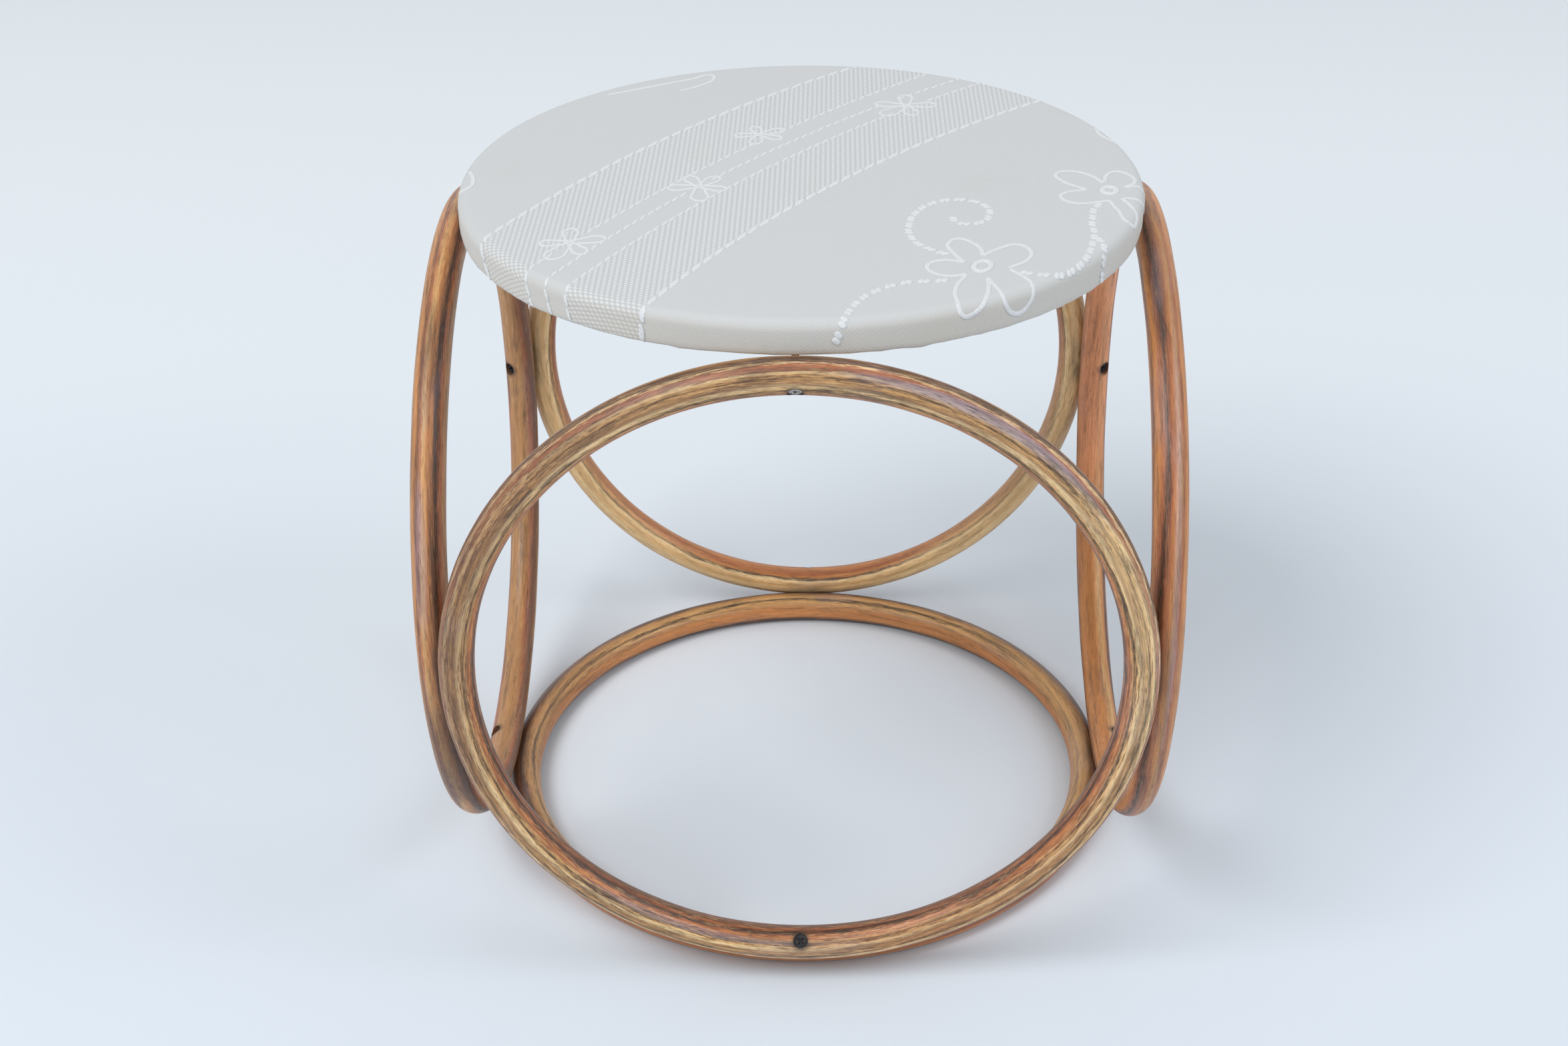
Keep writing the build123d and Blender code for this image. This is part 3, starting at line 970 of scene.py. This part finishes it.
def ivory_cloth():
    material, flow = new_finish("ivory_cloth")
    x, y, _ = flow.node("ShaderNodeUVMap", {"uv_map": "flat"}).parts()
    flat = flow.node("ShaderNodeCombineXYZ", None, {0: x, 1: y})
    reach = x * along_band.x + y * along_band.y
    across = x * across_band.x + y * across_band.y

    def above(name):
        """1 on the far side of one of the band's lines and 0 on the near side."""
        shift, lean, bow = BAND_LINES[name]
        past = across - (reach * lean + reach * reach * bow + shift * MM)
        return past.step(-STRIP_EDGE, STRIP_EDGE)

    strip = above("first_inner") - above("upper_border") + above("lower_border") - above("last_inner")
    column = x / (COLUMN_MM * MM)
    odd = column.maths("FLOOR", column) % 2.0
    row = y / (ROW_MM * MM) + odd * 0.5
    beside, beyond = (column % 1.0 - 0.5) * COLUMN_MM, (row % 1.0 - 0.5) * ROW_MM
    long = (beside * DASH_COS - beyond * DASH_SIN) / DASH_LONG
    short = (beside * DASH_SIN + beyond * DASH_COS) / DASH_SHORT
    dash = 1 - ((long * long + short * short) ** 0.5).step(0.4, 0.98)
    ribs = (x * TWILL_COS + y * TWILL_SIN) * (math.tau / (TWILL_MM * MM))
    picks = (x * TWILL_SIN - y * TWILL_COS) * (math.tau / (WEFT_MM * MM))
    twill, weft = flow.maths("SINE", ribs) * 0.5 + 0.5, flow.maths("SINE", picks) * 0.5 + 0.5
    slub = flat.cloud(900, 2)
    age = flat.cloud(14, 3)
    rim = ((x * x + y * y) ** 0.5).step(SEAT_RADIUS - RIM_EDGE, SEAT_RADIUS + RIM_EDGE)
    ground = 0.5 + (twill * 0.86 + weft * 0.14 - 0.5) * (rim * 0.7 + 0.4)
    weave = ground + (dash * (rim * 0.6 + 1.3) + 0.05 - rim * 0.2 - ground) * strip
    limits = {"Value": weave, "From Min": -0.2, "From Max": 1.6}
    light = flow.node("ShaderNodeMapRange", None, limits)
    colour = light.between(tone(192, 193, 194), tone(232, 234, 235))
    colour = (slub * 0.22).between(colour, tone(197, 197, 196))
    colour = (rim * (age * 0.4 + 0.22)).between(colour, tone(206, 196, 178))
    colour = (age.step(0.55, 0.8) * 0.12).between(colour, tone(196, 192, 184))
    finish(material.name, colour, 0.86, weave * 0.45 + slub * 0.45, 0.24 * MM, Sheen_Weight=0.15)
    return material


seat_cloth.data.materials.append(ivory_cloth())


# %% Thread finish
def white_thread():
    material, flow = new_finish("white_thread")
    place = flow.node("ShaderNodeTexCoord", out="Object")
    strands = place.cloud(1500, 2, 0.6)
    colour = strands.step(0.3, 0.7).between(tone(216, 218, 219), tone(233, 235, 236))
    finish(material.name, colour, 0.62, strands, 0.25 * MM, Sheen_Weight=0.2)
    return material


seat_stitches.data.materials.append(white_thread())

# %% [markdown]
# ## Padding, board, staples and screws
# The thin foam hides under the cloth, but it is a real pad with a crown and a soft edge, so it
# is spun too. The board, the staples and the screws keep their construction shapes and only get
# finishes: plywood with long grain, bright staples, and a zinc or a blackened coat on the screws.

# %% Padding
low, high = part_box("seat_foam")
PAD_GAP = 0.15 * MM
PAD_EDGE, PAD_DROP = 4.5 * MM, 4.2 * MM
PAD_EDGE_STEPS, PAD_TOP_STEPS, PAD_STEPS = 6, 10, 128
pad_radius, pad_bottom, pad_top = high.x - PAD_GAP, low.z + PAD_GAP, high.z - PAD_GAP
pad_flat = pad_radius - PAD_EDGE
pad_rim = pad_top - CROWN - PAD_DROP
pad = [(0, pad_bottom), (pad_radius - 1.0 * MM, pad_bottom), (pad_radius, pad_bottom + 0.6 * MM)]
for n in range(PAD_EDGE_STEPS + 1):
    turn = n * math.pi / (2 * PAD_EDGE_STEPS)
    pad.append((pad_flat + PAD_EDGE * math.cos(turn), pad_rim + PAD_DROP * math.sin(turn)))
for n in reversed(range(PAD_TOP_STEPS)):
    pad.append((pad_flat * n / PAD_TOP_STEPS, pad_top - CROWN * (n / PAD_TOP_STEPS) ** 2))
bm = bmesh.new()
spun(bm, chain(bm, pad), PAD_STEPS)
seat_padding = dress(new_object("seat_padding", bm), "foam", "seat_foam")
material, flow = new_finish("foam")
cells = flow.node("ShaderNodeTexCoord", out="Object").cloud(700, 3)
finish("foam", cells.between(tone(196, 170, 112), tone(228, 206, 150)), 0.95, cells, 0.5 * MM)
seat_padding.data.materials.append(material)
print("padding", len(seat_padding.data.polygons), "faces")


# %% Board, staples and screws
def coat(node, material):
    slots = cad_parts[node].data.materials
    slots.clear()
    slots.append(material)


def plywood():
    material, flow = new_finish("plywood")
    x, y, z = flow.node("ShaderNodeTexCoord", out="Object").parts()
    rings = flow.node("ShaderNodeCombineXYZ", None, {0: x * 3, 1: y * 38, 2: z * 400}).cloud(1, 3)
    fine = flow.node("ShaderNodeCombineXYZ", None, {0: x * 40, 1: y * 900, 2: z * 900}).cloud(1, 2)
    bands = flow.maths("SINE", rings * 34) * 0.5 + 0.5
    colour = (bands * 0.55 + fine * 0.4).between(tone(206, 172, 122), tone(158, 116, 72))
    finish("plywood", colour, 0.62 + fine * 0.2, fine, 0.15 * MM)
    return material


def metal(name, bright, dull, roughness, metallic):
    material, flow = new_finish(name)
    scuff = flow.node("ShaderNodeTexCoord", out="Object").cloud(900, 3, 0.6)
    colour = scuff.step(0.35, 0.7).between(bright, dull)
    finish(name, colour, scuff * 0.25 + roughness, scuff, 0.05 * MM, Metallic=metallic)
    return material


coat("seat_board", plywood())
coat("cover_staples", metal("staple_wire", tone(200, 202, 204), tone(150, 150, 150), 0.25, 1.0))
zinc = metal("bright_zinc", tone(214, 214, 210), tone(150, 146, 138), 0.22, 1.0)
black = metal("blackened_steel", tone(34, 35, 40), tone(66, 64, 64), 0.35, 0.7)
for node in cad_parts:
    if node.endswith("_screw"):
        coat(node, zinc if node.endswith("seat_screw") else black)

# %% [markdown]
# ## Floor and light
# A pale floor, one large soft lamp above the left shoulder, a weaker one on the right, and an even
# sky. The camera and reflections see the sky at full strength, but it lights at about half. The
# levels are set so that a surface facing up renders about in its own colour.

# %% Floor
FLOOR_RADIUS, FLOOR_SIDES, FLOOR_DROP = 14, 96, 0.3 * MM
lowered = Matrix.Translation((0, 0, -FLOOR_DROP))
bm = bmesh.new()
bmesh.ops.create_circle(bm, cap_ends=True, segments=FLOOR_SIDES, radius=FLOOR_RADIUS, matrix=lowered)
floor = new_object("floor", bm)
material, flow = new_finish("pale_floor")
_, depth, _ = flow.node("ShaderNodeTexCoord", out="Object").parts()
# Painted light: the floor is coloured darker towards the front and lighter towards the back, where the
# lamps reach it less.
colour = depth.step(-0.5, 1.3).between(tone(226, 235, 246), tone(242, 247, 252))
finish("pale_floor", colour, 0.9)
floor.data.materials.append(material)

# %% Light
LAMP_AIM = Vector((0, 0, 0.25))
SKY_COLOUR = (0.93, 0.97, 1.0, 1.0)
SKY_LIGHT = 0.52


def soft_lamp(name, place, size, power, colour):
    lamp = bpy.data.lights.new(name, "AREA")
    lamp.shape, lamp.size, lamp.energy, lamp.color = "DISK", size, power, colour
    made = bpy.data.objects.new(name, lamp)
    made.location = place
    made.rotation_euler = (LAMP_AIM - Vector(place)).to_track_quat("-Z", "Y").to_euler()
    scene.collection.objects.link(made)


soft_lamp("window", (-2.6, -2.2, 4.15), 3.0, 135, (1.0, 0.995, 0.98))
soft_lamp("filler", (3.6, -1.2, 3.0), 2.8, 52, (0.95, 0.97, 1.0))
world = bpy.data.worlds.new("sky")
world.use_nodes = True
scene.world = world
flow = Flow(world.node_tree)
seen = flow.node("ShaderNodeLightPath", out="Is Camera Ray")
mirrored = flow.node("ShaderNodeLightPath", out="Is Glossy Ray")
passed = flow.node("ShaderNodeLightPath", out="Is Transmission Ray")
plain = (seen + mirrored + passed).step(0.0, 1.0)
background = world.node_tree.nodes["Background"]
background.inputs["Color"].default_value = SKY_COLOUR
strength = plain * (1 - SKY_LIGHT) + SKY_LIGHT
world.node_tree.links.new(strength.socket, background.inputs["Strength"])
scene.view_settings.view_transform = "Standard"
print("two lamps and a sky")

# %% [markdown]
